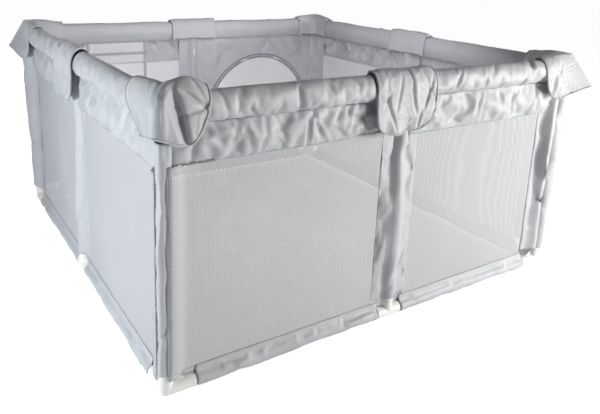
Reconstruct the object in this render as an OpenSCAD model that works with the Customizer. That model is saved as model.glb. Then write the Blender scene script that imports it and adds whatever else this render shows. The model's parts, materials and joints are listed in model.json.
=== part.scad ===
// Square playpen: a frame of steel tubes in moulded connectors, with a zipped fabric cover.
// Millimetres, +Z up. The origin is on the floor, at the middle of the playpen.
// The front wall faces -Y. Each wall is drawn along X at the front and turned into its place.

/* [Overall] */
// Distance between the centres of neighbouring posts, two of these to a wall
bay_length = 624; // [480:1:760]
// Height of the top rails' centre line above the floor
rail_height = 621; // [500:1:760]

/* [Tubes] */
// Outside diameter of every tube
tube_d = 25; // [20:0.5:32]
// Wall thickness of every tube
tube_wall = 1; // [0.6:0.1:2]

/* [Connectors] */
// Plastic wall round each socket
socket_wall = 3.4; // [2.5:0.1:5]
// Clearance all round between a tube and its socket
socket_clearance = 0.1; // [0.05:0.01:0.3]
// How far a tube goes into its socket
socket_depth = 24; // [16:1:32]
// Solid length between a corner's middle and the end of a level socket
corner_core = 42; // [30:1:60]
// Solid length between a tee's middle and the end of a level socket
tee_core = 14; // [8:1:24]
// Thickness of the webs between the arms
gusset_t = 4; // [3:0.5:8]
// Height of the flat ground off under the bottom connectors
foot_flat = 1; // [0.5:0.1:2]

/* [Fabric cover] */
// Diameter of the padded roll round the top rails
roll_d = 54; // [46:1:70]
// Slack between a tube and the fabric sleeve round it
sleeve_slack = 0.7; // [0.3:0.1:2]
// Thickness of the bands and flanges of fabric
cloth_t = 3; // [2:0.5:5]
// Thickness of the mesh windows
mesh_t = 1.2; // [0.8:0.1:2]
// Gap between a sleeve's end and the connector it stops at
sleeve_gap = 2; // [1:0.5:6]
// Width of the border of fabric beside the mesh windows
window_margin = 8; // [5:1:20]
// Width of the border where the cover opens, at the front left corner
opening_margin = 10; // [6:1:20]
// How far the mesh windows' top edge is below the top rails' centre
band_depth = 121; // [100:1:160]
// Height of the bottom edge of the mesh windows
window_bottom = 44; // [40:1:90]

/* [Caps] */
// Space between the top roll and the caps over it
cap_space = 2.5; // [1.5:0.1:5]
// Thickness of the caps
cap_t = 2.5; // [2:0.1:4]
// Length of a middle cap along its rail
mid_cap_l = 190; // [140:1:260]
// How far a middle cap's skirt hangs below the rail's centre
mid_skirt = 101; // [60:1:140]
// How far a corner cap reaches along each rail from the corner post
corner_cap_l = 130; // [110:1:180]
// How far a corner cap stands up above a middle cap
corner_rise = 18; // [0:1:30]
// How far a corner cap's skirt hangs
corner_skirt = 90; // [60:1:130]
// Radius of the rounded lower ends of the caps
cap_round = 42; // [20:1:55]
// How far the unfastened corner caps stand out at the bottom, in degrees
loose_flare = 14; // [0:1:25]
// How far a corner cap wraps over to the inside, in degrees
inner_wrap = 25; // [10:1:35]

/* [Door] */
// Distance from the middle post's centre to the doorway
door_post_gap = 76; // [60:1:120]
// Distance from the corner post's centre to the doorway
door_corner_gap = 44; // [36:1:90]
// How far the top of the doorway's arch is below the top rails' centre
arch_drop = 117; // [90:1:160]
// Height of the doorway's sill
sill_height = 90; // [60:1:140]
// Width of the zip round the doorway
zip_w = 8; // [6:0.5:12]
// Thickness of the zip
zip_t = 2.4; // [2:0.1:3]
// Thickness of the door's mesh
door_t = 1.6; // [1:0.1:2]
// Gap round the door
door_gap = 0.5; // [0.3:0.1:1]

/* [Zip sliders] */
// Length of a slider
slider_l = 14; // [10:1:18]
// Width of a slider
slider_w = 9; // [7:0.5:12]
// Thickness of a slider
slider_t = 4; // [3:0.1:6]
// Length of a pull tab
pull_l = 26; // [18:1:36]
// Width of a pull tab
pull_w = 6; // [4:0.5:9]
// Thickness of a pull tab
pull_t = 1.6; // [1.2:0.1:2.4]
// Angle of each door slider from the top of the arch
slider_angle = 17; // [10:1:40]
// Distance of the post's slider below the top of its zip
post_slider_drop = 30; // [20:1:60]
// Clearance between parts that move past each other
moving_gap = 0.3; // [0.2:0.05:0.6]

/* [Back window] */
// Width of the binding tapes over the back window
tape_w = 9; // [6:0.5:14]
// Thickness of the binding tapes
tape_t = 0.8; // [0.5:0.1:1.2]
// Distance of the inner upright tape from the middle post
tape_inner = 198; // [120:1:230]
// Distance of the outer upright tape from the middle post
tape_outer = 433; // [300:1:450]
// Distance of the level tape above the window's top edge
tape_above = 36; // [10:1:60]

/* [Hidden] */
WALLS = ["front", "right", "back", "left"];
CORNERS = ["front_left", "front_right", "back_right", "back_left"];
BAYS = ["left", "right"];
DOOR_SLIDERS = ["left", "right"];

$fn = 64;
eps = 0.5;
tall = 4 * (rail_height + bay_length);

tube_r = tube_d / 2;
bore_r = tube_r + socket_clearance;
arm_r = bore_r + socket_wall;
corner_arm = corner_core + socket_depth;
tee_arm = tee_core + socket_depth;
upright_arm = arm_r + socket_depth;
floor_rail_z = arm_r - foot_flat;
middle_z = (floor_rail_z + rail_height) / 2;
post_from = floor_rail_z + arm_r;
post_to = rail_height - arm_r;

roll_r = roll_d / 2;
sleeve_bore_r = tube_r + sleeve_slack;
sleeve_r = floor_rail_z - 0.2;
roll_from = tee_arm + 4 * sleeve_gap;
roll_to = bay_length - corner_arm - 2 * sleeve_gap;
sleeve_from = tee_arm + sleeve_gap;
sleeve_to = bay_length - corner_arm - sleeve_gap;
window_from = sleeve_from + window_margin;
window_to = sleeve_to - window_margin;
sleeve_bottom = floor_rail_z + upright_arm + sleeve_gap;
sleeve_top = rail_height - upright_arm - sleeve_gap;

cap_in_r = roll_r + cap_space;
cap_out_r = cap_in_r + cap_t;
corner_z = rail_height + corner_rise;
hinge_reach = corner_cap_l - cap_out_r;

window_top = rail_height - band_depth;
door_r = (bay_length - door_post_gap - door_corner_gap) / 2;
door_x = -(door_post_gap + door_r);
arch_centre = rail_height - arch_drop - door_r;
slider_y = cloth_t / 2 + moving_gap;
zip_path_r = door_r - zip_w / 2;
post_zip_y = sleeve_r + tape_t + moving_gap;

function index_of(name, names) = search([name], names)[0];

// Turns children drawn at the front wall, or at its left corner, into their own place.
module at_wall(name) rotate([0, 0, 90 * index_of(name, WALLS)]) translate([0, -bay_length, 0]) children();
module at_corner(name) rotate([0, 0, 90 * index_of(name, CORNERS)])
    translate([-bay_length, -bay_length, 0]) children();
module flip_to_top() translate([0, 0, 2 * middle_z]) mirror([0, 0, 1]) children();
module both_bays() for (side = [0, 1]) mirror([side, 0, 0]) children();

module along_x(from, to, r, z) translate([from, 0, z]) rotate([0, 90, 0]) cylinder(h = to - from, r = r);
module upright(from, to, r) translate([0, 0, from]) cylinder(h = to - from, r = r);

// Extrudes a shape drawn in X and Z through a thickness centred on the wall.
module wall_plate(t) translate([0, t / 2, 0]) rotate([90, 0, 0]) linear_extrude(t) children();
module span(x0, z0, x1, z1) translate([x0, z0]) square([x1 - x0, z1 - z0]);

// ---- Frame tubes ----

module tube_x(from, to, z) color("silver") difference() {
    along_x(from, to, tube_r, z);
    along_x(from - eps, to + eps, tube_r - tube_wall, z);
}

module rail(wall, bay, z) at_wall(wall) mirror([bay == "left" ? 1 : 0, 0, 0])
    tube_x(tee_core, bay_length - corner_core, z);

module post() color("silver") difference() {
    upright(post_from, post_to, tube_r);
    upright(post_from - eps, post_to + eps, tube_r - tube_wall);
}

// ---- Connectors, drawn at the bottom of the frame ----

// Web in the corner between a level arm and an upright arm.
module gusset(reach) wall_plate(gusset_t)
    polygon([[0, floor_rail_z], [reach, floor_rail_z], [0, floor_rail_z + upright_arm]]);

module upright_socket() upright(floor_rail_z + arm_r, floor_rail_z + upright_arm + eps, bore_r);

module bottom_corner() color("white") difference() {
    union() {
        along_x(0, corner_arm, arm_r, floor_rail_z);
        rotate([0, 0, 90]) along_x(0, corner_arm, arm_r, floor_rail_z);
        upright(floor_rail_z, floor_rail_z + upright_arm, arm_r);
        translate([0, 0, floor_rail_z]) sphere(r = arm_r);
        gusset(corner_arm);
        rotate([0, 0, 90]) gusset(corner_arm);
    }
    along_x(corner_core, corner_arm + eps, bore_r, floor_rail_z);
    rotate([0, 0, 90]) along_x(corner_core, corner_arm + eps, bore_r, floor_rail_z);
    upright_socket();
    translate([-tall / 2, -tall / 2, -tall]) cube([tall, tall, tall]);
}

module bottom_tee() color("white") difference() {
    union() {
        along_x(-tee_arm, tee_arm, arm_r, floor_rail_z);
        upright(floor_rail_z, floor_rail_z + upright_arm, arm_r);
        both_bays() gusset(tee_arm);
    }
    both_bays() along_x(tee_core, tee_arm + eps, bore_r, floor_rail_z);
    upright_socket();
    translate([-tall / 2, -tall / 2, -tall]) cube([tall, tall, tall]);
}

module top_corners() for (corner = CORNERS) at_corner(corner) flip_to_top() bottom_corner();

// ---- Cover ----

// One mesh window. The two beside the cover's opening corner reach nearly to the corner post.
module window_span(bay, wall) mirror([bay == "left" ? 1 : 0, 0, 0]) {
    at_opening = str(wall, bay) == "frontleft" || str(wall, bay) == "leftright";
    far_side = at_opening ? bay_length - sleeve_r - opening_margin : window_to;
    span(window_from, window_bottom, far_side, window_top);
}

module bay_outline() {
    span(sleeve_r - cloth_t / 2, sleeve_bottom, bay_length - sleeve_r - 2 * moving_gap, sleeve_top);
    span(sleeve_from, floor_rail_z, sleeve_to, rail_height - (roll_r + sleeve_bore_r) / 2);
}

module arch(r, bottom) {
    intersection() {
        translate([door_x, arch_centre]) circle(r, $fn = 128);
        span(door_x - r, arch_centre, door_x + r, arch_centre + r);
    }
    span(door_x - r, bottom, door_x + r, arch_centre);
}

// The half of a middle cap that is sewn to the cover, on the inner side of the rail.
module sewn_saddle() translate([-mid_cap_l / 2, 0, rail_height]) rotate([90, 0, 90])
    linear_extrude(mid_cap_l) intersection() {
        difference() {
            circle(cap_out_r);
            circle(roll_r - eps);
        }
        span(moving_gap, 0, cap_out_r, cap_out_r);
    }

module cover(wall) color("lightsteelblue") difference() {
    union() {
        both_bays() along_x(roll_from, roll_to, roll_r, rail_height);
        both_bays() along_x(sleeve_from, sleeve_to, sleeve_r, floor_rail_z);
        upright(sleeve_bottom, sleeve_top, sleeve_r);
        translate([bay_length, 0, 0]) upright(sleeve_bottom, sleeve_top, sleeve_r);
        sewn_saddle();
        wall_plate(cloth_t) difference() {
            both_bays() bay_outline();
            window_span("right", wall);
            if (wall == "back")
                arch(door_r, sill_height);
            else
                window_span("left", wall);
        }
        translate([bay_length - sleeve_r, 0, 0]) wall_plate(cloth_t)
            span(-2 * sleeve_slack, sleeve_bottom, cloth_t / 2, sleeve_top);
    }
    both_bays() along_x(roll_from - eps, roll_to + eps, sleeve_bore_r, rail_height);
    both_bays() along_x(sleeve_from - eps, sleeve_to + eps, sleeve_bore_r, floor_rail_z);
    upright(sleeve_bottom - eps, sleeve_top + eps, sleeve_bore_r);
    translate([bay_length, 0, 0]) upright(sleeve_bottom - eps, sleeve_top + eps, sleeve_bore_r);
}

module mesh_windows() color("whitesmoke") for (wall = WALLS) at_wall(wall) wall_plate(mesh_t) {
    window_span("right", wall);
    if (wall != "back")
        window_span("left", wall);
}

// Bindings sewn over the inner face of the back wall's mesh window.
module back_window_tapes() color("slategray") at_wall("back")
    translate([0, cloth_t / 2 + tape_t / 2, 0]) wall_plate(tape_t) {
        for (x = [tape_inner, tape_outer])
            span(x - tape_w / 2, window_bottom, x + tape_w / 2, rail_height - roll_r - 2 * moving_gap);
        span(tape_inner, window_top + tape_above - tape_w / 2, tape_outer,
             window_top + tape_above + tape_w / 2);
    }

// ---- Caps ----

module skirt_profile(length, flare) translate([-cap_out_r, 0]) rotate(-flare)
    translate([0, -length]) square([cap_t, length + cap_t / 2]);

// Takes the lower corner off the end of a skirt, in a curve.
module round_lower_end(x, z) rotate([90, 0, 0]) linear_extrude(tall) difference() {
    span(x - cap_round, z - cap_t, x + eps, z + cap_round);
    translate([x - cap_round, z + cap_round]) circle(cap_round);
}

module mid_cap() color("lightgray") difference() {
    translate([-mid_cap_l / 2, 0, rail_height]) rotate([90, 0, 90]) linear_extrude(mid_cap_l) {
        intersection() {
            difference() {
                circle(cap_out_r);
                circle(cap_in_r);
            }
            span(-cap_out_r, 0, -moving_gap, cap_out_r);
        }
        skirt_profile(mid_skirt, 0);
    }
    both_bays() round_lower_end(mid_cap_l / 2, rail_height - mid_skirt);
}

// One arm of a corner cap, along X, cut off square to the corner's diagonal.
module corner_cap_arm(flare) difference() {
    intersection() {
        translate([-cap_out_r - corner_skirt, 0, corner_z]) rotate([90, 0, 90])
            linear_extrude(corner_cap_l + cap_out_r + corner_skirt) {
                difference() {
                    circle(cap_out_r);
                    circle(cap_in_r);
                    span(-tall, -tall, tall, 0);
                    rotate(90 - inner_wrap) span(0, -tall, tall, 0);
                }
                skirt_profile(corner_skirt, flare);
            }
        linear_extrude(tall) polygon([[-tall, -tall], [tall, -tall], [tall, tall]]);
    }
    round_lower_end(corner_cap_l, corner_z - corner_skirt * cos(flare));
}

module corner_cap(corner) color("lightgray") at_corner(corner) intersection() {
    flare = corner == "front_right" || corner == "back_left" ? loose_flare : 0;
    union() {
        corner_cap_arm(flare);
        mirror([1, -1, 0]) corner_cap_arm(flare);
    }
    linear_extrude(tall)
        polygon([[-tall, -tall], [hinge_reach + tall, -tall], [-tall, hinge_reach + tall]]);
}

// ---- Door and zips, in the back wall ----

module door_zip() color("gray") at_wall("back") wall_plate(zip_t) difference() {
    arch(door_r, sill_height);
    arch(door_r - zip_w, sill_height - eps);
}

module door_flap() color("whitesmoke") at_wall("back") wall_plate(door_t)
    arch(door_r - zip_w - door_gap, sill_height + door_gap);

// A slider at the origin that travels along Z, with the wall's inner face at y = 0.
module slider() color("gainsboro") rotate([-90, 0, 0]) linear_extrude(slider_t) difference() {
    span(-slider_w / 2, -slider_l / 2, slider_w / 2, slider_l / 2);
    for (side = [-1, 1])
        translate([side * (slider_w / 2 + slider_l / 8), 0]) circle(slider_l / 4);
}

// A pull tab that hangs along -Z from an eye at the slider's middle.
module pull() color("gainsboro") translate([0, slider_t + moving_gap + pull_t / 2, 0]) {
    rotate([0, 90, 0]) cylinder(h = pull_w, d = pull_t, center = true);
    rotate([90, 0, 0]) linear_extrude(pull_t, center = true)
        span(-pull_w / 2, -pull_l, pull_w / 2, 0);
}

// Puts a slider's place on the arch, hanging down the slope from the top of the arch.
module on_arch(side) at_wall("back") translate([door_x, slider_y, arch_centre])
    rotate([0, side == "left" ? slider_angle : -slider_angle, 0]) translate([0, 0, zip_path_r])
        rotate([0, side == "left" ? -90 : 90, 0]) children();

module on_post_zip() at_wall("back")
    translate([0, post_zip_y, sleeve_top - post_slider_drop]) children();

module post_zip() color("gray") at_wall("back") translate([-zip_w / 2, sleeve_r, sleeve_bottom])
    cube([zip_w, tape_t, sleeve_top - sleeve_bottom]);

for (w = WALLS, b = BAYS) {
    rail(w, b, floor_rail_z);
    rail(w, b, rail_height);
}
for (c = CORNERS) {
    at_corner(c) post();
    at_corner(c) bottom_corner();
    corner_cap(c);
}
for (w = WALLS) {
    at_wall(w) post();
    at_wall(w) bottom_tee();
    at_wall(w) flip_to_top() bottom_tee();
    at_wall(w) cover(w);
    at_wall(w) mid_cap();
}
for (s = DOOR_SLIDERS) {
    on_arch(s) slider();
    on_arch(s) pull();
}
top_corners();
mesh_windows();
door_flap();
door_zip();
back_window_tapes();
post_zip();
on_post_zip() slider();  // post_slider
on_post_zip() pull();  // post_pull
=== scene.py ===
import json
import math
import random
import bmesh
import bpy
from mathutils import Matrix, Vector, noise

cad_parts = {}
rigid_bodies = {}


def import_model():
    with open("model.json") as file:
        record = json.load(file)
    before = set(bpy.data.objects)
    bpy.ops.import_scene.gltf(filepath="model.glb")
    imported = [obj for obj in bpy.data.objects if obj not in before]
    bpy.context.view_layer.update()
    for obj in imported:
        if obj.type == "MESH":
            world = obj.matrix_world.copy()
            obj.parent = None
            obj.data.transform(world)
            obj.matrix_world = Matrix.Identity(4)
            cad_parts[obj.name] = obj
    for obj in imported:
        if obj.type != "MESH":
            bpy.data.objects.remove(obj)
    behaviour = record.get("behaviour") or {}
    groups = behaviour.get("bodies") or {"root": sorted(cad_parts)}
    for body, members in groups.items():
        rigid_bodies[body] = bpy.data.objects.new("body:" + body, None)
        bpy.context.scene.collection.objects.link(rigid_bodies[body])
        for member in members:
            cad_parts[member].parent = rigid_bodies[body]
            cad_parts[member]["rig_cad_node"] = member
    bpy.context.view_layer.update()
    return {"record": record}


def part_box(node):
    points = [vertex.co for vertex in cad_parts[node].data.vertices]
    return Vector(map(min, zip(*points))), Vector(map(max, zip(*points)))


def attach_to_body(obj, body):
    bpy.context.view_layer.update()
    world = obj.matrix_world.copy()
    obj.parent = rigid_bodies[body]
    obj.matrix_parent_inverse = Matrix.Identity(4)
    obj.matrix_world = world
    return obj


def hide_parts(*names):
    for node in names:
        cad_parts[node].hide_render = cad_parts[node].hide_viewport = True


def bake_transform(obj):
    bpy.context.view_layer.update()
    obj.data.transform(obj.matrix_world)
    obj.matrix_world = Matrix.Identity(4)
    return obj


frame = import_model()

# ---- Places, from the frame (metres) ----


def middle(node, axis):
    low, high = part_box(node)
    return (low[axis] + high[axis]) / 2


WALLS = ("front", "right", "back", "left")
CORNERS = ("front_left", "front_right", "back_right", "back_left")
BAY = -middle("mid_post_front", 1)
RAIL = middle("top_rail_front_left", 2)
FLOOR_RAIL = middle("bottom_rail_front_left", 2)
ROLL_R = -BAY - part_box("cover_front")[0].y
NET_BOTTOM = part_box("mesh_windows")[0].z
MID_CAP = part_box("mid_cap_front")
CORNER_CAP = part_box("corner_cap_front_left")
CAP_R = -BAY - MID_CAP[0].y
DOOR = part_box("door_zip")
DOOR_R = (DOOR[1].x - DOOR[0].x) / 2
DOOR_X = (DOOR[1].x + DOOR[0].x) / 2
ARCH = DOOR[1].z - DOOR_R
SILL = DOOR[0].z
ZIP_W = (DOOR_R * 2 - (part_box("door_flap")[1].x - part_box("door_flap")[0].x)) / 2
POST_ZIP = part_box("post_zip")
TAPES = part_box("back_window_tapes")
HINGE = RAIL + CAP_R

# ---- Sizes of the soft goods (metres) ----

CLOTH = 0.0016
NET = 0.0008
ROLL_FROM = 0.046
ROLL_SHORT = 0.104
ROLL_TO = BAY - 0.070
SLEEVE_FROM = 0.041
SLEEVE_TO = BAY - 0.068
NET_FROM = 0.048
NET_TO = BAY - 0.076
NET_AT_OPENING = BAY + 0.001
POST_BOTTOM = FLOOR_RAIL + 0.043
POST_TOP = RAIL - ROLL_R
NEAR_POST_TOP = RAIL - 0.055
SEWN_TOP = RAIL - ROLL_R + 0.001
PIPING_R = 0.0030


def rough(x, y, z=0.0):
    """Smooth noise from -1 to 1."""
    return noise.noise(Vector((x, y, z)))


def ease(low, high, value):
    """0 below low, 1 above high, and a smooth step between."""
    share = min(1.0, max(0.0, (value - low) / (high - low)))
    return share * share * (3 - 2 * share)


def mix(a, b, share):
    return a + (b - a) * share


def at_wall(wall):
    """Turns what is drawn along X at the front wall, outward along -Y, into its wall."""
    turn = Matrix.Rotation(math.radians(90 * WALLS.index(wall)), 4, "Z")
    return turn @ Matrix.Translation((0, -BAY, 0))


def at_corner(corner):
    """Turns what is drawn round a post, with its rails along +X and +Y, into its corner."""
    turn = Matrix.Rotation(math.radians(90 * CORNERS.index(corner)), 4, "Z")
    return turn @ Matrix.Translation((-BAY, -BAY, 0))


def at_bay(wall, bay):
    """As at_wall, mirrored for a left bay, so that X runs from the middle post to the corner."""
    return at_wall(wall) @ Matrix.Diagonal((-1 if bay == "left" else 1, 1, 1, 1))


# ---- Finishes ----


class Wire:
    """A socket in a finish's tree. Maths on it adds Math nodes."""

    def __init__(self, finish, socket):
        self.finish = finish
        self.socket = socket

    def maths(self, operation, *others):
        inputs = dict(enumerate((self, *others)))
        return self.finish.node("ShaderNodeMath", {"operation": operation}, inputs)

    def __add__(self, other):
        return self.maths("ADD", other)

    def __rsub__(self, other):
        return self * -1 + other

    def __mul__(self, other):
        return self.maths("MULTIPLY", other)

    def step(self, low, high):
        """0 below low and 1 above high, with a smooth step between."""
        return self.finish.node(
            "ShaderNodeMapRange",
            {"interpolation_type": "SMOOTHSTEP"},
            {"Value": self, "From Min": low, "From Max": high},
        )

    __radd__ = __add__
    __rmul__ = __mul__


class Finish:
    """A procedural material, built up from nodes."""

    def __init__(self, name, colour, **sockets):
        self.material = bpy.data.materials.new(name)
        self.material.use_nodes = True
        self.tree = self.material.node_tree
        self.shader = self.tree.nodes["Principled BSDF"]
        self.colour = (*colour, 1)
        self.shader.inputs["Base Color"].default_value = self.colour
        for socket, value in sockets.items():
            self.shader.inputs[socket.replace("_", " ")].default_value = value

    def node(self, kind, settings, inputs, output=0):
        node = self.tree.nodes.new(kind)
        for key, value in settings.items():
            setattr(node, key, value)
        for key, value in inputs.items():
            self.feed(node.inputs[key], value)
        return Wire(self, node.outputs[output])

    def feed(self, socket, value):
        if isinstance(value, Wire):
            self.tree.links.new(value.socket, socket)
        else:
            socket.default_value = value

    def place(self):
        return self.node("ShaderNodeTexCoord", {}, {}, "Object")

    def cloth_place(self):
        """Where a point is on the flat cloth, in metres: across and along."""
        uv = self.node("ShaderNodeTexCoord", {}, {}, "UV")
        split = self.node("ShaderNodeSeparateXYZ", {}, {0: uv})
        return split, Wire(self, split.socket.node.outputs[1])

    def cloud(self, scale, detail=3, kind="FBM", place=None, stretch=0.0):
        """Noise, about 0 to 1."""
        return self.node(
            "ShaderNodeTexNoise",
            {"noise_type": kind},
            {"Vector": place or self.place(), "Scale": scale, "Detail": detail, "Distortion": stretch},
        )

    def blend_colour(self, share, other):
        inputs = {0: share, 6: self.colour, 7: (*other, 1)}
        blended = self.node("ShaderNodeMix", {"data_type": "RGBA"}, inputs, 2)
        self.feed(self.shader.inputs["Base Color"], blended)

    def bump(self, *layers):
        """Each layer is (height, strength, depth in metres)."""
        normal = None
        for height, strength, depth in layers:
            inputs = {"Height": height, "Strength": strength, "Distance": depth}
            if normal:
                inputs["Normal"] = normal
            normal = self.node("ShaderNodeBump", {}, inputs)
        self.feed(self.shader.inputs["Normal"], normal)


def weave(finish, pitch):
    """The over and under of a plain weave."""
    across, along = finish.cloth_place()
    turn = 2 * math.pi / pitch
    return (across * turn).maths("SINE") * (along * turn).maths("SINE")


def oxford(name, colour, shade, creases=0.0011):
    """Coated polyester weave that creases softly."""
    finish = Finish(name, colour, Roughness=0.48, Sheen_Weight=0.2, Sheen_Roughness=0.4)
    crumple = finish.cloud(17, 4, "RIDGED_MULTIFRACTAL", stretch=0.6)
    finish.blend_colour(finish.cloud(7, 4).step(0.35, 0.75) * 0.8, shade)
    finish.feed(finish.shader.inputs["Roughness"], finish.cloud(30, 2) * 0.16 + 0.40)
    finish.bump((crumple, 0.5, creases), (weave(finish, 0.0011), 0.35, 0.00012))
    return finish


def net_finish(name, colour, pitch, openness):
    """Knitted net: round holes on a honeycomb, with a fine thread between."""
    finish = Finish(name, colour, Roughness=0.7, Sheen_Weight=0.15)
    across, along = finish.cloth_place()
    turn = 2 * math.pi / pitch
    waves = [
        ((across * math.cos(angle) + along * math.sin(angle)) * turn).maths("COSINE")
        for angle in (0, math.radians(60), math.radians(120))
    ]
    mesh = waves[0] + waves[1] + waves[2]
    finish.feed(finish.shader.inputs["Alpha"], 1 - mesh.step(openness, openness + 0.5))
    finish.blend_colour(finish.cloud(5, 2).step(0.3, 0.8) * 0.5, tuple(c * 0.93 for c in colour))
    finish.bump((mesh, 0.5, 0.0004))
    return finish


def plastic(name, colour, roughness=0.35):
    finish = Finish(name, colour, Roughness=roughness, Specular_IOR_Level=0.5)
    finish.feed(finish.shader.inputs["Roughness"], finish.cloud(60, 3) * 0.14 + (roughness - 0.07))
    finish.blend_colour(finish.cloud(22, 3).step(0.45, 0.8) * 0.5, tuple(c * 0.94 for c in colour))
    finish.bump((finish.cloud(900, 2), 0.2, 0.00015))
    return finish


def steel(name, colour):
    finish = Finish(name, colour, Roughness=0.32, Metallic=1.0)
    finish.feed(finish.shader.inputs["Roughness"], finish.cloud(80, 4) * 0.2 + 0.24)
    finish.blend_colour(finish.cloud(14, 4).step(0.4, 0.8) * 0.5, tuple(c * 0.8 for c in colour))
    finish.bump((finish.cloud(500, 2), 0.15, 0.0001))
    return finish


def thread(name, colour):
    finish = Finish(name, colour, Roughness=0.75, Sheen_Weight=0.2)
    finish.blend_colour(finish.cloud(150, 2).step(0.3, 0.8) * 0.6, tuple(c * 0.8 for c in colour))
    finish.bump((finish.cloud(1200, 2), 0.3, 0.0002))
    return finish


COVER = oxford("cover_oxford", (0.51, 0.52, 0.545), (0.47, 0.48, 0.505))
CAP = oxford("cap_oxford", (0.51, 0.52, 0.545), (0.47, 0.48, 0.505), creases=0.0009)
WHITE_NET = net_finish("white_net", (0.62, 0.615, 0.645), 0.0047, 0.70)
DOOR_NET = net_finish("door_net", (0.66, 0.655, 0.685), 0.0040, 0.85)
BINDING = thread("binding_tape", (0.42, 0.45, 0.48))
PIPING = thread("pale_piping", (0.50, 0.52, 0.54))
STITCH = thread("grey_thread", (0.20, 0.215, 0.23))
ZIP = thread("zip_tape", (0.24, 0.25, 0.27))
COIL = plastic("zip_coil", (0.56, 0.57, 0.59), 0.35)
PLASTIC = plastic("moulded_white", (0.86, 0.86, 0.83))
STEEL = steel("tube_steel", (0.50, 0.50, 0.51))
SLIDER = plastic("slider_paint", (0.55, 0.56, 0.58), 0.3)
TAB = plastic("tab_plastic", (0.80, 0.81, 0.82), 0.3)

# ---- Making pieces ----


def piece(name, mesh, finish):
    """A new object from a bmesh, smooth and with its finish."""
    data = bpy.data.meshes.new(name)
    mesh.to_mesh(data)
    mesh.free()
    made = bpy.data.objects.new(name, data)
    bpy.context.scene.collection.objects.link(made)
    data.materials.append(finish.material)
    for face in data.polygons:
        face.use_smooth = True
    return made


class Cloth:
    """A sheet of cloth: a grid whose points place(a, b) gives, for a and b from 0 to 1.

    Its weave runs along a and b, or, if upright, level and plumb.
    """

    def __init__(
        self, name, columns, rows, place, flat, turn, finish=COVER, thick=CLOTH, upright=False
    ):
        self.columns = columns
        self.rows = rows
        self.thick = thick
        self.flat = flat
        mesh = bmesh.new()
        uv = mesh.loops.layers.uv.new("cloth")
        bmesh.ops.create_grid(mesh, x_segments=columns, y_segments=rows, size=0.5)
        self.at = {}
        for vert in mesh.verts:
            a = vert.co.x + 0.5
            b = vert.co.y + 0.5
            self.at[round(a * columns), round(b * rows)] = vert.index
            spot = Vector(place(a, b))
            for loop in vert.link_loops:
                loop[uv].uv = (spot.x, spot.z) if upright else (a * flat[0], b * flat[1])
            vert.co = turn @ spot
        self.piece = piece(name, mesh, finish)

    def loosen(self, fullness, held, core=None):
        """Sets the cloth up to buckle under a little spare fabric.

        held(a, b) says how firmly it is sewn.
        core is a tube it can't sink into: (a point, its direction, radius).
        """
        self.core = core
        group = self.piece.vertex_groups.new(name="held")
        for (i, j), index in self.at.items():
            group.add([index], held(i / self.columns, j / self.rows), "REPLACE")
        self.rest = [vert.co.copy() for vert in self.piece.data.vertices]
        modifier = self.piece.modifiers.new("fullness", "CLOTH")
        settings = modifier.settings
        settings.quality = 4
        settings.mass = 0.12
        settings.vertex_group_mass = "held"
        settings.shrink_min = -fullness
        settings.tension_stiffness = 10
        settings.compression_stiffness = 6
        settings.shear_stiffness = 4
        settings.bending_stiffness = 0.12
        settings.tension_damping = 8
        settings.compression_damping = 8
        settings.effector_weights.gravity = 0
        modifier.collision_settings.use_collision = False
        modifier.point_cache.frame_end = SETTLE_FRAMES
        LOOSE.append(self)

    def points(self):
        """The cloth's points at rest, by column and row."""
        verts = self.piece.data.vertices
        return {key: verts[index].co.copy() for key, index in self.at.items()}

    def edge(self, column=None, row=None, start=0.0, end=1.0):
        """The points along one column or one row."""
        where = self.points()
        if column is None:
            last = self.columns
            return [where[i, row] for i in range(round(start * last), round(end * last) + 1)]
        last = self.rows
        return [where[column, j] for j in range(round(start * last), round(end * last) + 1)]

    def thicken(self):
        solid = self.piece.modifiers.new("thickness", "SOLIDIFY")
        solid.thickness = self.thick
        solid.offset = 0


SETTLE_FRAMES = 16
FURTHEST = 0.012
LOWEST = 0.0012
LOOSE = []


def settle():
    """Lets every loosened cloth buckle, all in one run, and keeps the result as its mesh."""
    scene = bpy.context.scene
    for number in range(1, SETTLE_FRAMES + 1):
        scene.frame_set(number)
    graph = bpy.context.evaluated_depsgraph_get()
    for cloth in LOOSE:
        settled = cloth.piece.evaluated_get(graph).data
        places = [vert.co.copy() for vert in settled.vertices]
        cloth.piece.modifiers.clear()
        cloth.piece.vertex_groups.clear()
        for vert, place, rest in zip(cloth.piece.data.vertices, places, cloth.rest):
            moved = place - rest
            if moved.length > FURTHEST:
                moved *= FURTHEST / moved.length
            vert.co = rest + moved
            if cloth.core:
                point, along, radius = cloth.core
                off = vert.co - point
                off -= along * off.dot(along)
                if off.length < radius:
                    vert.co += off * (radius / off.length - 1)
            vert.co.z = max(vert.co.z, LOWEST)
    scene.frame_set(1)


def finish_cloth(cloth, body, replaces=(), bend=None):
    """Thickens a cloth, hangs it on its body, or, when given a bend, leaves it unhung where it is, and
    hides the parts it replaces.
    """
    cloth.thicken()
    made = cloth.piece
    if bend:
        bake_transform(made)
    else:
        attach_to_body(made, body)
    if replaces:
        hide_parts(*replaces)


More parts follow.
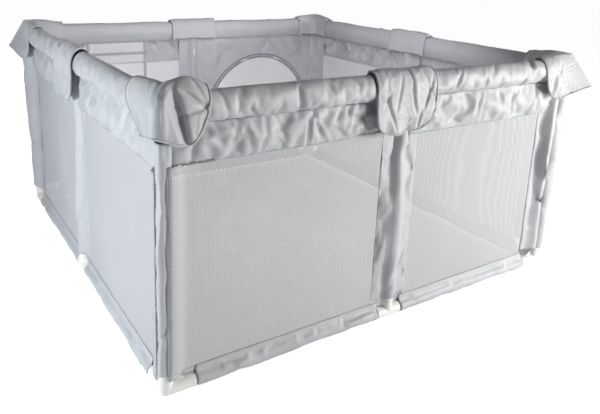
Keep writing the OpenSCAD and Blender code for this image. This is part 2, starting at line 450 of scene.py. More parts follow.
def trim(name, finish, paths, radius, body="frame", bend=None, sides=6):
    """Round cord or thread sewn along each path, as one piece."""
    mesh = bmesh.new()
    for path in paths:
        closed = (path[0] - path[-1]).length < 1e-4
        ring_count = len(path) - 1 if closed else len(path)
        rings = []
        for i in range(ring_count):
            before = path[i - 1] if i or closed else path[0]
            after = path[(i + 1) % ring_count] if closed or i < ring_count - 1 else path[i]
            along = (after - before).normalized()
            side = along.orthogonal() if not rings else side - along * side.dot(along)
            side.normalize()
            turns = [Matrix.Rotation(2 * math.pi * k / sides, 3, along) for k in range(sides)]
            rings.append([mesh.verts.new(path[i] + turn @ side * radius) for turn in turns])
        pairs = list(zip(rings, rings[1:])) + ([(rings[-1], rings[0])] if closed else [])
        for low, high in pairs:
            for k in range(sides):
                mesh.faces.new((low[k], low[(k + 1) % sides], high[(k + 1) % sides], high[k]))
        if not closed:
            mesh.faces.new(reversed(rings[0]))
            mesh.faces.new(rings[-1])
    bmesh.ops.recalc_face_normals(mesh, faces=mesh.faces)
    return attach(piece(name, mesh, finish), body, bend)


def attach(made, body="frame", bend=None):
    if bend:
        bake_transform(made)
    else:
        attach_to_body(made, body)
    return made


def dashes(path, length, gap):
    """Cuts a path into stitches."""
    made = []
    need = length
    run = [path[0]]
    sewing = True
    for a, b in zip(path, path[1:]):
        left = (b - a).length
        place = a
        while left > need:
            place = place.lerp(b, need / left)
            left = (b - place).length
            if sewing:
                made.append(run + [place])
            sewing = not sewing
            run = [place]
            need = length if sewing else gap
        need -= left
        run.append(b)
    return made


# ---- Creases ----


def pinch(points, creases):
    """How far a point of the cloth is pushed in. Each crease is (start, end, width, depth)."""
    push = 0.0
    for start, end, width, depth in creases:
        run = Vector(end) - Vector(start)
        from_start = Vector(points) - Vector(start)
        share = from_start.dot(run) / run.length_squared
        if -0.2 < share < 1.2:
            off = (from_start - run * share).length / width
            fade = math.sin(math.pi * min(1, max(0, (share + 0.2) / 1.4)))
            push += depth * fade * math.exp(-off * off)
    return push


def scattered(count, wide, tall, seed, lean=0.35, depth=0.003, length=0.05):
    """Creases here and there over a cloth of this size."""
    spread = random.Random(seed)
    made = []
    for _ in range(count):
        start = (spread.uniform(0, wide), spread.uniform(0, tall))
        angle = spread.uniform(-lean, lean) + math.pi / 2
        run = spread.uniform(0.5, 1.4) * length
        end = (start[0] + run * math.cos(angle), start[1] + run * math.sin(angle))
        made.append((start, end, spread.uniform(0.004, 0.009), spread.uniform(-0.6, 1.0) * depth))
    return made


# ---- The cover: padded-looking rolls over the top rails ----

BAND_HEM = RAIL - 0.121
NEAR_HEM = BAND_HEM + 0.013
SEAM_Y = -0.004
BAND_FROM = 0.020
BAND_TO = BAY - 0.012
BAND_SHORT = 0.124
PULLED_SHORT = ("front", "left")


def rail_core(wall, height, radius):
    turn = at_wall(wall)
    return turn @ Vector((0, 0, height)), turn.to_3x3() @ Vector((1, 0, 0)), radius


def post_core(turn, radius):
    return turn @ Vector(), Vector((0, 0, 1)), radius


def bay_seed(wall, bay):
    return WALLS.index(wall) * 2 + (bay == "right")


def loft(y, z):
    """The loose cloth on a rail stands taller above it, and lies closer to it inside."""
    if y > 0:
        y *= 0.82
    if z > RAIL:
        z = RAIL + (z - RAIL) * 1.5
    return y, z


def make_roll(wall, bay):
    seed = bay_seed(wall, bay)
    start = ROLL_SHORT if (wall, bay) == PULLED_SHORT else ROLL_FROM
    wide = ROLL_TO - start
    around = 2 * math.pi * ROLL_R
    creases = scattered(10, wide, around * 0.6, seed, lean=0.9, depth=0.006, length=0.05)
    tucks = scattered(20, wide, 0.03, seed + 50, lean=0.6, depth=0.0045, length=0.018)

    def place(a, b):
        x = mix(start, ROLL_TO, a)
        inset = 0.007 * (1 - ease(0, 0.012, min(x - start, ROLL_TO - x)))
        outer = 1 - ease(0.38, 0.55, b)
        lump = mix(0.001, 0.003, outer) * rough(x * 9, b * 2.5, seed * 3)
        radius = ROLL_R - 0.0015 - inset + lump - outer * pinch((a * wide, b * around), creases + tucks)
        angle = math.radians(mix(-90, 270, b))
        y, z = loft(-radius * math.cos(angle), RAIL + radius * math.sin(angle))
        lip = 0.012 * ease(0.78, 1.0, b) if wall in ("back", "right") else 0.0
        return x, y, z - lip

    lofted = around + (0.024 if wall in ("back", "right") else 0.014)
    roll = Cloth(f"roll_{wall}_{bay}", 84, 26, place, (wide, lofted), at_bay(wall, bay))

    def held(a, b):
        seam = 1 - ease(0, 0.06, min(b, 1 - b))
        ends = 0.4 * (1 - ease(0, 0.02, min(a, 1 - a)))
        return max(seam, ends, 0.7 * ease(0.38, 0.5, b))

    roll.loosen(0.055, held, rail_core(wall, RAIL, 0.018))
    return roll


def make_band(wall, bay, start=BAND_FROM, end=BAND_TO):
    seed = bay_seed(wall, bay)
    hem = NEAR_HEM if (wall, bay) == PULLED_SHORT else BAND_HEM
    wide = end - start
    tall = SEWN_TOP - hem
    creases = scattered(12, wide, tall, seed + 9, lean=0.7, depth=0.008, length=0.07)
    if (wall, bay) == PULLED_SHORT:
        creases.append(((0.165, 0.0), (0.158, 0.095), 0.004, 0.010))
        creases.append(((0.060, 0.094), (0.085, 0.050), 0.006, 0.008))

    def place(a, b):
        x = mix(start, end, a)
        z = mix(hem, SEWN_TOP, b)
        drape = math.sin(math.pi * (0.25 + b * 0.75))
        fold = 0.006 * rough(x * 12 + b, b * 0.8, seed * 5)
        inward = pinch((a * wide, b * tall), creases) * min(1, 4 * (1 - b) + 0.3)
        gather = 0.0
        if (wall, bay) == PULLED_SHORT:
            gather = ease(0.05, 0.0, x - start) if x - start < 0.05 else 0.0
            z += 0.010 * gather * (1 - b)
        y = SEAM_Y * b - 0.006 * drape - fold * drape + inward - 0.005 * gather * math.sin(b * 9)
        return x, y, z

    columns = round(84 * wide / (BAND_TO - BAND_FROM))
    name = f"band_{wall}_{bay}_{round(start * 1000)}"
    band = Cloth(name, columns, 18, place, (wide, tall), at_bay(wall, bay))

    def held(a, b):
        return max(1 - ease(0, 0.08, min(b, 1 - b)), 1 - ease(0, 0.01, min(a, 1 - a)))

    band.loosen(0.07, held)
    return band


LIGHT_FROM = -TAPES[1].x
LIGHT_TO = -TAPES[0].x


def make_under_roll():
    """The padding that goes on under the middle cap where the roll has been pulled short."""
    wide = ROLL_SHORT + 0.01 - BAND_FROM
    radius = 0.0185

    def place(a, b):
        angle = math.radians(mix(-90, 270, b))
        x = mix(BAND_FROM, ROLL_SHORT + 0.01, a)
        return x, -radius * math.cos(angle), RAIL + radius * math.sin(angle)

    flat = (wide, 2 * math.pi * radius)
    return Cloth("under_roll", 16, 24, place, flat, at_bay(*PULLED_SHORT))


def make_recess(wall, bay):
    """The strip that shows beside the middle cap, where the band has been pulled short."""
    wide = BAND_SHORT + 0.012 - BAND_FROM
    top = RAIL - 0.014
    tall = top - BAND_HEM

    def place(a, b):
        x = mix(BAND_FROM, BAND_SHORT + 0.012, a)
        return x, 0.006 - 0.003 * rough(x * 20, b * 2), mix(BAND_HEM, top, b)

    recess = Cloth(f"recess_{wall}_{bay}", 24, 16, place, (wide, tall), at_bay(wall, bay))
    recess.loosen(0.03, lambda a, b: 1 - ease(0, 0.1, min(a, 1 - a, b, 1 - b)))
    return recess


# ---- The cover: sleeves on the posts and the bottom rails ----

MID_HALF = 0.058
FLARED = ("front_right", "back_left")
SLEEVE_R = 0.0160
TUBE_CLEAR = 0.0136
POST_FACE = BAY - POST_ZIP[1].y - CLOTH / 2


def make_mid_sleeve(wall):
    seed = WALLS.index(wall) + 30
    tall = POST_TOP - POST_BOTTOM
    around = 4 * MID_HALF + 0.03
    creases = scattered(14, around, tall, seed, lean=0.5, depth=0.004, length=0.08)
    creases += scattered(8, around, tall, seed + 3, lean=1.4, depth=0.003, length=0.03)

    def place(a, b):
        turn = 2 * math.pi * a
        x = -MID_HALF * math.cos(turn)
        side = math.copysign(1, math.sin(turn))
        tube = math.exp(-((x / (SLEEVE_R + 0.001)) ** 4))
        inward = pinch((a * around, b * tall), creases)
        z = mix(POST_BOTTOM, POST_TOP, b)
        girth = SLEEVE_R + 0.0025 * ease(POST_TOP - 0.03, POST_TOP - 0.012, z)
        if wall == "back" and side < 0:
            inward *= 0.2
            girth = POST_FACE
        ripple = 0.002 * rough(x * 30, b * 7, seed) * (1 - tube)
        y = -0.0018 * math.sin(turn) - side * (girth * tube + ripple - inward)
        return x + 0.001 * rough(b * 6, seed), y, z

    sleeve = Cloth(f"mid_sleeve_{wall}", 44, 84, place, (around, tall), at_wall(wall))
    zipped = 0.12 if wall == "back" else 0

    def held(a, b):
        if abs(a - 0.75) < zipped:
            return 1
        return max(1 - ease(0, 0.05, min(a, 1 - a, abs(a - 0.5))), 1 - ease(0, 0.02, min(b, 1 - b)))

    sleeve.loosen(0.012, held, post_core(at_wall(wall), TUBE_CLEAR))
    return sleeve


def make_corner_sleeve(corner):
    seed = CORNERS.index(corner) + 40
    narrow = corner == "front_left"
    fins = {"front_left": (0.018, 0.018), "back_right": (0.030, 0.078)}
    fin_x, fin_y = fins.get(corner, (0.078, 0.078))
    top = NEAR_POST_TOP if narrow else POST_TOP
    tall = top - POST_BOTTOM
    arc = SLEEVE_R * math.pi * 1.5
    run_x = fin_x - SLEEVE_R
    run_y = fin_y - SLEEVE_R
    outer = run_x + arc + run_y
    around = outer + fin_x + fin_y
    creases = scattered(12, around, tall, seed, lean=0.6, depth=0.003, length=0.08)
    creases += scattered(8, around, tall, seed + 3, lean=1.4, depth=0.003, length=0.03)

    def section(d, girth):
        """From one fin's edge, round the outside of the post to the other fin, then home inside.

        Gives a point and the way that is outward there.
        """
        near = 0.0015
        inner = SLEEVE_R * 0.8
        if d < run_x:
            share = d / run_x
            return mix(fin_x, girth * 0.5, share), -mix(near, girth * 0.87, ease(0.3, 1, share)), 0, -1
        if d < run_x + arc:
            angle = math.radians(-60) - (d - run_x) / arc * math.radians(210)
            if narrow:
                girth *= 1 + 0.26 * max(0.0, math.cos(2 * (angle - math.radians(-135)))) ** 2
            return girth * math.cos(angle), girth * math.sin(angle), math.cos(angle), math.sin(angle)
        if d < outer:
            share = (d - run_x - arc) / run_y
            return -mix(girth * 0.87, near, ease(0, 0.7, share)), mix(girth * 0.5, fin_y, share), -1, 0
        if d < outer + fin_y:
            share = (d - outer) / fin_y
            return mix(near, inner, ease(0.2, 1, share)), mix(fin_y, inner, share), 1, 0
        share = (d - outer - fin_y) / fin_x
        return mix(inner, fin_x, share), mix(inner, near, ease(0, 0.8, share)), 0, 1

    def place(a, b):
        swell = 0.006 + 0.014 * b if corner in FLARED else 0.0015
        x, y, out_x, out_y = section(a * around * 0.99999, SLEEVE_R + swell)
        push = pinch((a * around, b * tall), creases) - 0.002 * rough(a * 9, b * 7, seed)
        return x - out_x * push, y - out_y * push, mix(POST_BOTTOM, top, b)

    sleeve = Cloth(f"corner_sleeve_{corner}", 44, 84, place, (around, tall), at_corner(corner))
    folded = outer / around

    def held(a, b):
        return max(1 - ease(0, 0.05, min(a, 1 - a, abs(a - folded))), 1 - ease(0, 0.02, min(b, 1 - b)))

    sleeve.loosen(0.003 if narrow else 0.012, held, post_core(at_corner(corner), TUBE_CLEAR))
    return sleeve


def make_bottom_sleeve(wall, bay):
    seed = bay_seed(wall, bay) + 60
    wide = SLEEVE_TO - SLEEVE_FROM
    radius = FLOOR_RAIL - 0.0008
    fin = 0.017
    around = 2 * math.pi * radius + 2 * fin
    creases = scattered(22, wide, around, seed, lean=0.9, depth=0.003, length=0.03)
    creases += scattered(10, wide, around, seed + 5, lean=1.5, depth=0.003, length=0.06)

    def place(a, b):
        x = mix(SLEEVE_FROM, SLEEVE_TO, a)
        d = b * around
        cuff = 0.0022 * (1 - ease(0, 0.014, min(x - SLEEVE_FROM, SLEEVE_TO - x)))
        push = pinch((a * wide, d), creases) - 0.0015 * rough(x * 14, b * 4, seed)
        top = NET_BOTTOM + 0.003
        if d < fin:
            return x, -0.001 - 0.004 * ease(0, 1, d / fin) + push * 0.4, top - d
        if d > around - fin:
            left = around - d
            return x, 0.001 + 0.004 * ease(0, 1, left / fin) - push * 0.4, top - left
        angle = math.radians(mix(110, 430, (d - fin) / (around - 2 * fin)))
        ring = radius + 0.0006 - push - cuff * 0.2
        return x, ring * 1.08 * math.cos(angle), max(LOWEST, FLOOR_RAIL + ring * math.sin(angle))

    sleeve = Cloth(f"bottom_sleeve_{wall}_{bay}", 84, 24, place, (wide, around), at_bay(wall, bay))

    def held(a, b):
        return max(1 - ease(0, 0.12, min(b, 1 - b)), 0.6 * (1 - ease(0, 0.02, min(a, 1 - a))))

    sleeve.loosen(0.025, held, rail_core(wall, FLOOR_RAIL, TUBE_CLEAR))
    return sleeve


# ---- The cover: nets ----


def make_net(wall, bay):
    seed = bay_seed(wall, bay) + 80
    if (wall, bay) in (("front", "left"), ("left", "right")):
        end = NET_AT_OPENING
    else:
        end = NET_TO
    wide = end - NET_FROM
    top = (NEAR_HEM if (wall, bay) == PULLED_SHORT else BAND_HEM) + 0.004
    tall = top - NET_BOTTOM

    def place(a, b):
        x = mix(NET_FROM, end, a)
        slack = math.sin(math.pi * a) * math.sin(math.pi * b)
        y = 0.010 * slack * rough(x * 4, b * 2, seed) + 0.0015 * slack * rough(x * 17, b * 9, seed)
        y -= 0.0200 * ease(BAY - 0.045, BAY - 0.015, x)
        return x, y, mix(NET_BOTTOM, top, b)

    return Cloth(f"net_{wall}_{bay}", 60, 50, place, (wide, tall), at_bay(wall, bay), WHITE_NET, NET)


def make_light_net():
    """Where net, and not fabric, fills the wall between the two upright tapes."""
    wide = LIGHT_TO - LIGHT_FROM
    tall = SEWN_TOP - BAND_HEM

    def place(a, b):
        x = mix(LIGHT_FROM, LIGHT_TO, a)
        return x, 0.002 * rough(x * 9, b * 3) * math.sin(math.pi * b), mix(BAND_HEM, SEWN_TOP, b)

    turn = at_bay("back", "right")
    return Cloth("net_between_tapes", 24, 10, place, (wide, tall), turn, WHITE_NET, NET)


PANEL_TO = BAY - 0.017
ZIP_FOOT = 0.163


def arch_reach(angle, radius=DOOR_R):
    """How far the door's outline is from the arch's centre in a direction."""
    if math.sin(angle) >= 0:
        return radius
    along = abs(math.cos(angle))
    side = radius / along if along > 1e-6 else 9
    return min(side, (ARCH - SILL) / -math.sin(angle))


def panel_reach(angle):
    """As arch_reach, for the edge of the panel that the door is in."""
    across = math.cos(angle)
    up = math.sin(angle)
    sides = [9]
    if abs(across) > 1e-6:
        sides.append(((PANEL_TO if across > 0 else NET_FROM) - DOOR_X) / across)
    if abs(up) > 1e-6:
        sides.append(((SEWN_TOP if up > 0 else NET_BOTTOM) - ARCH) / up)
    return min(side for side in sides if side > 0)


def arch_point(share, inset, lift=0.0):
    """A point on the door's outline. The share starts and ends at the middle of the sill."""
    angle = math.radians(-90) - share * 2 * math.pi
    reach = arch_reach(angle, DOOR_R - inset)
    return DOOR_X + reach * math.cos(angle), lift, ARCH + reach * math.sin(angle)


def make_door_panel():
    """The cloth of the bay that the door is in, from the door's outline to the bay's edges."""

    def place(a, b):
        angle = math.radians(-90) - a * 2 * math.pi
        reach = mix(arch_reach(angle), panel_reach(angle), b)
        x = DOOR_X + reach * math.cos(angle)
        z = ARCH + reach * math.sin(angle)
        calm = math.sin(math.pi * b)
        rays = math.sin((x * 0.75 + z) * 95 + 2 * rough(x * 8, z * 8)) * ease(0.35, 0.55, z)
        return x, calm * (0.003 * rays + 0.004 * rough(x * 9, z * 9, 5)), z

    wide = PANEL_TO - NET_FROM
    tall = SEWN_TOP - NET_BOTTOM
    hole = math.pi * DOOR_R**2 / 2 + 2 * DOOR_R * (ARCH - SILL)
    panel = Cloth("door_panel", 168, 16, place, (wide, tall), at_bay("back", "left"), upright=True)
    panel.area = wide * tall - hole
    panel.loosen(0.03, lambda a, b: 1 - ease(0, 0.15, min(b, 1 - b)))
    return panel


def make_door():
    def place(a, b):
        angle = math.radians(-90) - a * 2 * math.pi
        reach = arch_reach(angle, DOOR_R - ZIP_W) * max(b, 0.01)
        x = DOOR_X + reach * math.cos(angle)
        z = ARCH + reach * math.sin(angle)
        return x, 0.005 * math.sin(math.pi * b) * rough(x * 5, z * 5, 8), z

    wide = 2 * (DOOR_R - ZIP_W)
    tall = ARCH + DOOR_R - SILL - 2 * ZIP_W
    door = Cloth("door_net", 168, 20, place, (wide, tall), at_bay("back", "left"), DOOR_NET, NET, True)
    door.area = math.pi * (DOOR_R - ZIP_W) ** 2 / 2 + wide * (ARCH - SILL - ZIP_W)
    return door


# ---- The caps ----


def over_rail(d, radius, skirt):
    """A cap's section: up the outside from its hem, over the rail and down inside."""
    if d < skirt:
        return -radius, RAIL - skirt + d
    angle = (d - skirt) / radius
    if angle < math.pi:
        return -radius * math.cos(angle), RAIL + radius * math.sin(angle)
    return radius, RAIL - (d - skirt - math.pi * radius)


MID_SKIRT = RAIL - MID_CAP[0].z
CAP_HALF = (MID_CAP[1].x - MID_CAP[0].x) / 2
CAP_CURVE = 0.042
WRAP = 0.032
CAP_SHIFTS = {"front": -0.013, "left": -0.045}
MID_CREASES = [
    ((0.098, 0.155), (0.116, 0.055), 0.0045, 0.008),
    ((0.030, 0.085), (0.052, 0.020), 0.0035, 0.005),
    ((0.020, 0.060), (0.036, 0.095), 0.0035, 0.004),
    ((0.180, 0.125), (0.150, 0.060), 0.0035, 0.005),
    ((0.150, 0.125), (0.185, 0.070), 0.0035, 0.005),
    ((0.070, 0.120), (0.060, 0.060), 0.0050, 0.003),
    ((0.135, 0.050), (0.128, 0.010), 0.0050, 0.004),
]


def make_mid_cap(wall):
    seed = WALLS.index(wall) + 100
    total = MID_SKIRT + math.pi * CAP_R + WRAP
    shift = CAP_SHIFTS.get(wall, 0.0)
    curve = {-1: CAP_CURVE, 1: 0.080 if wall == "front" else CAP_CURVE}
    creases = MID_CREASES + scattered(5, 2 * CAP_HALF, 0.12, seed, lean=0.5, depth=0.004, length=0.05)

    def place(a, b):
        x = mix(-CAP_HALF, CAP_HALF, a)
        round_by = curve[1 if x > 0 else -1]
        past = max(0.0, abs(x) - (CAP_HALF - round_by)) / round_by
        low = round_by * (1 - math.sqrt(max(0.0, 1 - past * past)))
        d = mix(low, total, b)
        puff = 0.0025 * rough(x * 14, d * 14, seed)
        snug = 0.0025 * ease(CAP_HALF - 0.020, CAP_HALF, abs(x))
        y, z = loft(*over_rail(d, CAP_R + 0.001 + puff - snug, MID_SKIRT))
        loose = 1 - ease(0.0, 0.10, d)
        gather = math.exp(-(((x - 0.006) / 0.022) ** 2)) * (1 - ease(0.0, 0.05, d))
        y -= 0.007 * loose * (0.6 + rough(x * 22, seed)) - 0.008 * gather
        z += 0.003 * gather + 0.004 * loose * rough(x * 20, seed + 5)
        y += pinch((x + CAP_HALF, d), creases) * (1 if y < 0 else 0)
        return x + shift, y, z

    cap = Cloth(f"mid_cap_cloth_{wall}", 48, 56, place, (2 * CAP_HALF, total), at_wall(wall), CAP)

    def held(a, b):
        return max(ease(0.55, 0.7, b), 0.5 * (1 - ease(0, 0.04, min(a, 1 - a))), 0.15)

    cap.loosen(0.03, held)
    return cap


CORNER_SKIRT = 0.088
CORNER_LIFT = 0.5 * (CORNER_CAP[1].z - RAIL - CAP_R)
TIP_OUT = 0.067
TIP_HEIGHT = RAIL - 0.037
NEAR_CREASES = [
    ((0.190, 0.088), (0.250, 0.006), 0.0105, 0.019),
    ((0.172, 0.080), (0.180, 0.030), 0.0070, -0.003),
    ((0.216, 0.088), (0.284, 0.072), 0.0040, 0.008),
    ((0.226, 0.056), (0.284, 0.072), 0.0035, 0.006),
    ((0.232, 0.120), (0.284, 0.076), 0.0045, 0.004),
]


def make_corner_cap(corner):
    """The first half of the columns hangs on the wall along +X and the rest on the wall along +Y."""
    seed = CORNERS.index(corner) + 120
    flare = corner in FLARED
    near = corner == "front_left"
    bend = 0.006 if flare else 0.020
    skirt = CORNER_SKIRT - (0.018 if near else 0.004)
    total = skirt + math.pi * CAP_R + WRAP
    tops = (0.088, 0.140) if near else (0.104, 0.104)
    hems = (0.066, 0.030) if near else (0.078, 0.078)
    wide = tops[0] + tops[1] + 2 * CAP_R
    creases = scattered(9, wide, 0.12, seed, lean=0.7, depth=0.006, length=0.06)
    if near:
        creases = NEAR_CREASES

    def place(a, b):
        side = 0 if a < 0.5 else 1
        along = abs(2 * a - 1)
        past = max(0.0, along - 0.72) / 0.28
        low = CAP_CURVE * (1 - math.sqrt(max(0.0, 1 - past * past)))
        if near:
            low += mix(0.026, mix(0.009, 0.012, side), ease(0, 0.045, along * hems[side]))
        d = mix(low, total, b)
        reach = mix(hems[side], tops[side], ease(0, skirt + 0.03, d))
        flat = (1 - a) * wide if near else a * wide
        puff = 0.002 * rough(a * 5, d * 14, seed)
        snug = 0.0025 * ease(0.85, 1.0, along)
        w, z = loft(*over_rail(d, CAP_R + 0.001 + puff - snug, skirt))
        hung = 1 - ease(0.0, skirt + 0.02, d)
        close = max(0.0, 1 - along * reach / 0.085)
        if w < 0:
            w += pinch((flat, d), creases)
            w -= 0.004 * hung * (0.5 + rough(a * 7, seed))
        inside = ease(skirt + 2.0 * CAP_R, total - WRAP, d)
        peak = CORNER_LIFT * math.exp(-((along * reach / 0.07) ** 2)) * (1 - hung * 0.8) * (1 - inside)
        if near and side == 0:
            peak += 0.012 * math.exp(-(((along * reach - 0.045) / 0.035) ** 2)) * (1 - hung)
        if flare and d < skirt + 0.040:
            up = d / (skirt + 0.040)
            w = mix(w, mix(-TIP_OUT, -0.020, up), close)
            z = mix(z + peak, mix(TIP_HEIGHT, RAIL + 0.058, up), close)
        else:
            z += peak
        step = (reach - w) * along
        if step < bend:
            angle = math.radians(45) * (1 - step / bend)
            x = w + bend - bend * math.sin(angle)
            y = w + bend - bend * math.cos(angle)
        else:
            x = w + step
            y = w
        return (y, x, z) if side else (x, y, z)

    cap = Cloth(f"corner_cap_cloth_{corner}", 72, 54, place, (wide, total), at_corner(corner), CAP)
    cap.area = wide * total * 0.82

    def held(a, b):
        return max(ease(0.5, 0.65, b), 0.5 * (1 - ease(0, 0.04, min(a, 1 - a))), 0.2)

    cap.loosen(0.02, held)
    return cap


# ---- Everything sewn from cloth, then settled together ----

BAYS = [(wall, bay) for wall in WALLS for bay in ("left", "right")]
DOOR_BAY = ("back", "left")
LIGHT_BAY = ("back", "right")

rolls = {where: make_roll(*where) for where in BAYS}
bands = [make_band(*where) for where in BAYS if where not in (DOOR_BAY, PULLED_SHORT, LIGHT_BAY)]
near_band = make_band(*PULLED_SHORT, start=BAND_SHORT)
bands += [near_band, make_band(*LIGHT_BAY, end=LIGHT_FROM), make_band(*LIGHT_BAY, start=LIGHT_TO)]
recess = make_recess("front", "left")
bottoms = {where: make_bottom_sleeve(*where) for where in BAYS}
mid_sleeves = {wall: make_mid_sleeve(wall) for wall in WALLS}
corner_sleeves = {corner: make_corner_sleeve(corner) for corner in CORNERS}
nets = {where: make_net(*where) for where in BAYS if where != DOOR_BAY}
light_net = make_light_net()
under_roll = make_under_roll()
door_panel = make_door_panel()
door_net = make_door()
mid_caps = {wall: make_mid_cap(wall) for wall in WALLS}
corner_caps = {corner: make_corner_cap(corner) for corner in CORNERS}
settle()


def mid_bend(wall):
    turn = at_wall(wall)
    return turn @ Vector((0, 0.008, HINGE)), turn @ Vector((0, -0.020, HINGE))


def corner_bend(corner):
    turn = at_corner(corner)
    return turn @ Vector((0.0625, 0.0625, HINGE)), turn @ Vector((0.045, 0.045, HINGE))


def border(cloth):
    """From the crown down one side, along the hem and up the other side."""
    crown = 0.64
    down = cloth.edge(column=0, end=crown)[::-1]
    up = cloth.edge(column=cloth.columns, end=crown)
    return down + cloth.edge(row=0)[1:-1] + up


# Cords, hems and stitches follow the cloth as it has settled
borders = {wall: border(cap) for wall, cap in mid_caps.items()}
corner_borders = {corner: border(cap) for corner, cap in corner_caps.items()}
seams = [band.edge(row=band.rows) for band in bands]
hems = [band.edge(row=0) for band in bands]
net_seams = []
for net in nets.values():
    net_seams += [net.edge(column=0), net.edge(column=net.columns), net.edge(row=0)]

for roll in [*rolls.values(), under_roll, recess]:
    finish_cloth(roll, "frame")
for band in bands:
    finish_cloth(band, "frame")
for sleeve in [*bottoms.values(), *mid_sleeves.values(), *corner_sleeves.values()]:
    finish_cloth(sleeve, "frame")
for net in [*nets.values(), light_net]:
    finish_cloth(net, "frame")
finish_cloth(door_panel, "frame")
finish_cloth(door_net, "door", ["door_flap"])
for wall, cap in mid_caps.items():
    node = f"mid_cap_{wall}"
    finish_cloth(cap, f"mid_flap_{wall}", [node], bend=mid_bend(wall))
for corner, cap in corner_caps.items():
    node = f"corner_cap_{corner}"
    bend = corner_bend(corner)
    finish_cloth(cap, f"corner_flap_{corner}", [node], bend)
for wall in WALLS:
    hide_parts(f"cover_{wall}")
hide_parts("mesh_windows")

for wall, path in borders.items():
    trim(f"mid_piping_{wall}", PIPING, [path], PIPING_R, f"mid_flap_{wall}", mid_bend(wall))
for corner, path in corner_borders.items():
    bend = corner_bend(corner)
    trim(f"corner_piping_{corner}", PIPING, [path], PIPING_R, f"corner_flap_{corner}", bend)
stitches = [stitch for seam in seams for stitch in dashes(seam, 0.009, 0.003)]
trim("seam_stitches", STITCH, stitches, 0.0013)
trim("band_hems", BINDING, hems, 0.0018)
# A thick dark cord along the last fifth of the near band's hem, towards the corner: painted shadow of
# the slit under the band.
trim("near_hem_tape", ZIP, [near_band.edge(row=0, start=0.80)], 0.0034)
net_stitches = [stitch for seam in net_seams for stitch in dashes(seam, 0.006, 0.003)]
trim("net_stitches", BINDING, net_stitches, 0.0012)


# ---- Zips and tapes ----


def door_loop(inset, lift):
    """Up one leg of the door's zip, over the arch and down the other."""
    turn = at_bay("back", "left")
    count = 120
    shares = [mix(ZIP_FOOT, 1 - ZIP_FOOT, i / count) for i in range(count + 1)]
    return [turn @ Vector(arch_point(share, inset, lift)) for share in shares]


def door_tape(a, b):
    return arch_point(mix(ZIP_FOOT, 1 - ZIP_FOOT, b), mix(-0.005, 0.0075, a))


tape_flat = (0.0125, math.pi * DOOR_R + 2 * (ARCH - SILL))
door_turn = at_bay("back", "left")
zip_ring = Cloth("door_zip_tape", 3, 120, door_tape, tape_flat, door_turn, BINDING, 0.001)
finish_cloth(zip_ring, "frame", ["door_zip"])

INNER = 0.0018
for face, lift in (("in", INNER), ("out", -INNER)):
    trim(f"door_zip_outer_{face}", ZIP, [door_loop(-0.005, lift)], 0.0016)
    trim(f"door_zip_coil_{face}", COIL, [door_loop(0.002, lift)], 0.0019)
    trim(f"door_zip_inner_{face}", ZIP, [door_loop(0.0095, lift)], 0.0016, "door")


def ribbon(name, width, start, end, finish=BINDING, slot="binding"):
    """A flat tape from start to end, its width square to the wall's plane."""
    run = Vector(end) - Vector(start)
    side = run.cross(Vector((0, 1, 0))).normalized() * width

    def place(a, b):
        wave = 0.0007 * rough(a * 2, b * run.length * 20, len(name))
        return Vector(start) + run * b + side * (a - 0.5) + Vector((0, wave, 0))

    rows = max(8, round(run.length / 0.01))
    tape = Cloth(name, 4, rows, place, (width, run.length), Matrix(), finish, 0.0008)
    finish_cloth(tape, "frame")
    return tape


low, high = TAPES
tape_y = (low.y + high.y) / 2
tape_w = 0.010
left_x = low.x + tape_w
right_x = high.x - tape_w
cross_y = tape_y - 0.002
level = RAIL - 0.080
left_tape = ribbon("window_tape_left", tape_w, (left_x, tape_y, low.z), (left_x, tape_y, high.z))
ribbon("window_tape_right", tape_w, (right_x, tape_y, low.z), (right_x, tape_y, high.z))
ribbon("window_tape_level", tape_w, (low.x, cross_y, level), (high.x, cross_y, level))
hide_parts("back_window_tapes")
zip_low, zip_high = POST_ZIP
zip_y = zip_low.y + 0.0008
zip_ends = (0, zip_y, zip_low.z), (0, zip_y, zip_high.z)
post_tape = ribbon("post_zip_tape", 0.016, *zip_ends, ZIP, "zip_tape")
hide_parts("post_zip")
post_coil = [Vector((0, zip_y - 0.001, mix(zip_low.z, zip_high.z, i / 40))) for i in range(41)]
trim("post_zip_coil", COIL, [post_coil], 0.0020)

# ---- Harder parts keep their exact shape ----

FINISHES = {
    "tube": STEEL,
    "connector": PLASTIC,
    "cover_cloth": COVER,
    "cap_cloth": CAP,
    "mesh": WHITE_NET,
    "door_mesh": DOOR_NET,
    "binding": BINDING,
    "zip_tape": ZIP,
    "slider_metal": SLIDER,
    "pull_tab": TAB,
}
SLOTS = {part["node"]: part["material_slot"] for part in frame["record"]["subparts"]}
for made in list(bpy.data.objects):
    node = made.get("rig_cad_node")
    if node and made.type == "MESH":
        made.data.materials.clear()
        made.data.materials.append(FINISHES[SLOTS[node]].material)

# ---- Floor, light and view ----


def seen_and_lit(tree, seen, lit):
    """A number that differs between what the eye sees and what lights the object."""
    rays = tree.nodes.new("ShaderNodeLightPath")
    strength = tree.nodes.new("ShaderNodeMapRange")
    strength.inputs["To Min"].default_value = lit
    strength.inputs["To Max"].default_value = seen
    tree.links.new(rays.outputs["Is Camera Ray"], strength.inputs["Value"])
    return strength.outputs[0]


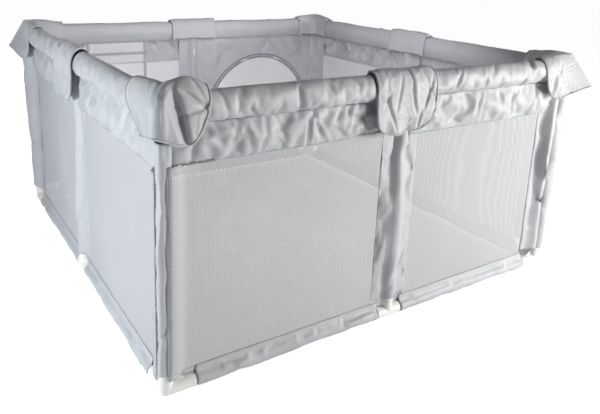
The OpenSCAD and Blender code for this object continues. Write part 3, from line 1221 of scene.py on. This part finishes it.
def pale_floor():
    mesh = bmesh.new()
    bmesh.ops.create_grid(mesh, x_segments=1, y_segments=1, size=30)
    finish = Finish("pale_floor", (0.85, 0.85, 0.85), Roughness=0.9, Emission_Color=(1, 1, 1, 1))
    split = finish.node("ShaderNodeSeparateXYZ", {}, {0: finish.place()})
    along = Wire(finish, split.socket.node.outputs[1])
    # Inside the pen's square the floor glows at a tenth of the strength it has outside. This is a
    # painted shadow of the pen on the floor.
    outside = split.maths("ABSOLUTE").maths("MAXIMUM", along.maths("ABSOLUTE")).step(0.56, 0.66)
    glow_with_painted_pen_shadow = Wire(finish, seen_and_lit(finish.tree, 0.85, 0.08)) * (outside * 0.9 + 0.1)
    finish.feed(finish.shader.inputs["Emission Strength"], glow_with_painted_pen_shadow)
    floor = piece("pale_floor", mesh, finish)
    floor.location.z = -0.0008


pale_floor()


def lamp(name, place, aim, size, power, colour):
    light = bpy.data.lights.new(name, "AREA")
    light.energy = power
    light.size = size
    light.color = colour
    made = bpy.data.objects.new(name, light)
    bpy.context.scene.collection.objects.link(made)
    made.location = place
    made.rotation_euler = (Vector(aim) - Vector(place)).to_track_quat("-Z", "Y").to_euler()
    made.visible_camera = False


lamp("left_softbox", (-1.9, -0.45, 0.45), (-0.6, -0.3, 0.4), 0.3, 18, (0.90, 0.96, 1.0))
lamp("front_softbox", (2.0, -2.4, 0.6), (0.3, -0.6, 0.45), 1.0, 80, (1.0, 0.995, 0.97))
lamp("inside_softbox", (0.0, -0.3, 0.95), (0.0, 0.62, 0.4), 0.6, 6, (1.0, 0.985, 1.0))
lamp("top_softbox", (0, 0, 3.2), (0, 0, 0), 2.0, 4, (1.0, 1.0, 1.0))
lamp("back_softbox", (-0.6, 3.4, 0.6), (0, 0.6, 0.3), 1.6, 32, (1.0, 1.0, 1.0))
lamp("right_softbox", (3.4, 0.8, 0.6), (0.6, 0, 0.3), 1.4, 20, (1.0, 1.0, 1.0))


def studio_world(seen, lit):
    world = bpy.data.worlds.new("studio")
    world.use_nodes = True
    background = world.node_tree.nodes["Background"]
    background.inputs["Color"].default_value = (1, 1, 1, 1)
    world.node_tree.links.new(seen_and_lit(world.node_tree, seen, lit), background.inputs["Strength"])
    return world


bpy.context.scene.world = studio_world(1.0, 0.15)
bpy.context.scene.view_settings.view_transform = "Standard"

HEADING = math.radians(32.57)
TILT = math.radians(-13.5)
ROLL = math.radians(2.02)
ahead = Vector((math.sin(HEADING) * math.cos(TILT), math.cos(HEADING) * math.cos(TILT), math.sin(TILT)))
across = ahead.cross(Vector((0, 0, 1))).normalized()
above = across.cross(ahead)
rolled = across * math.cos(ROLL) + above * math.sin(ROLL)
upright = above * math.cos(ROLL) - across * math.sin(ROLL)
camera_data = bpy.data.cameras.new("view")
camera_data.sensor_width = 36
camera_data.lens = 36.49
camera_data.shift_x = 0.0374
camera_data.shift_y = -0.165
camera = bpy.data.objects.new("view", camera_data)
bpy.context.scene.collection.objects.link(camera)
camera.matrix_world = Matrix.Translation((-1.0444, -1.6872, 0.9085)) @ Matrix(
    (rolled, upright, -ahead)
).transposed().to_4x4()
bpy.context.scene.camera = camera
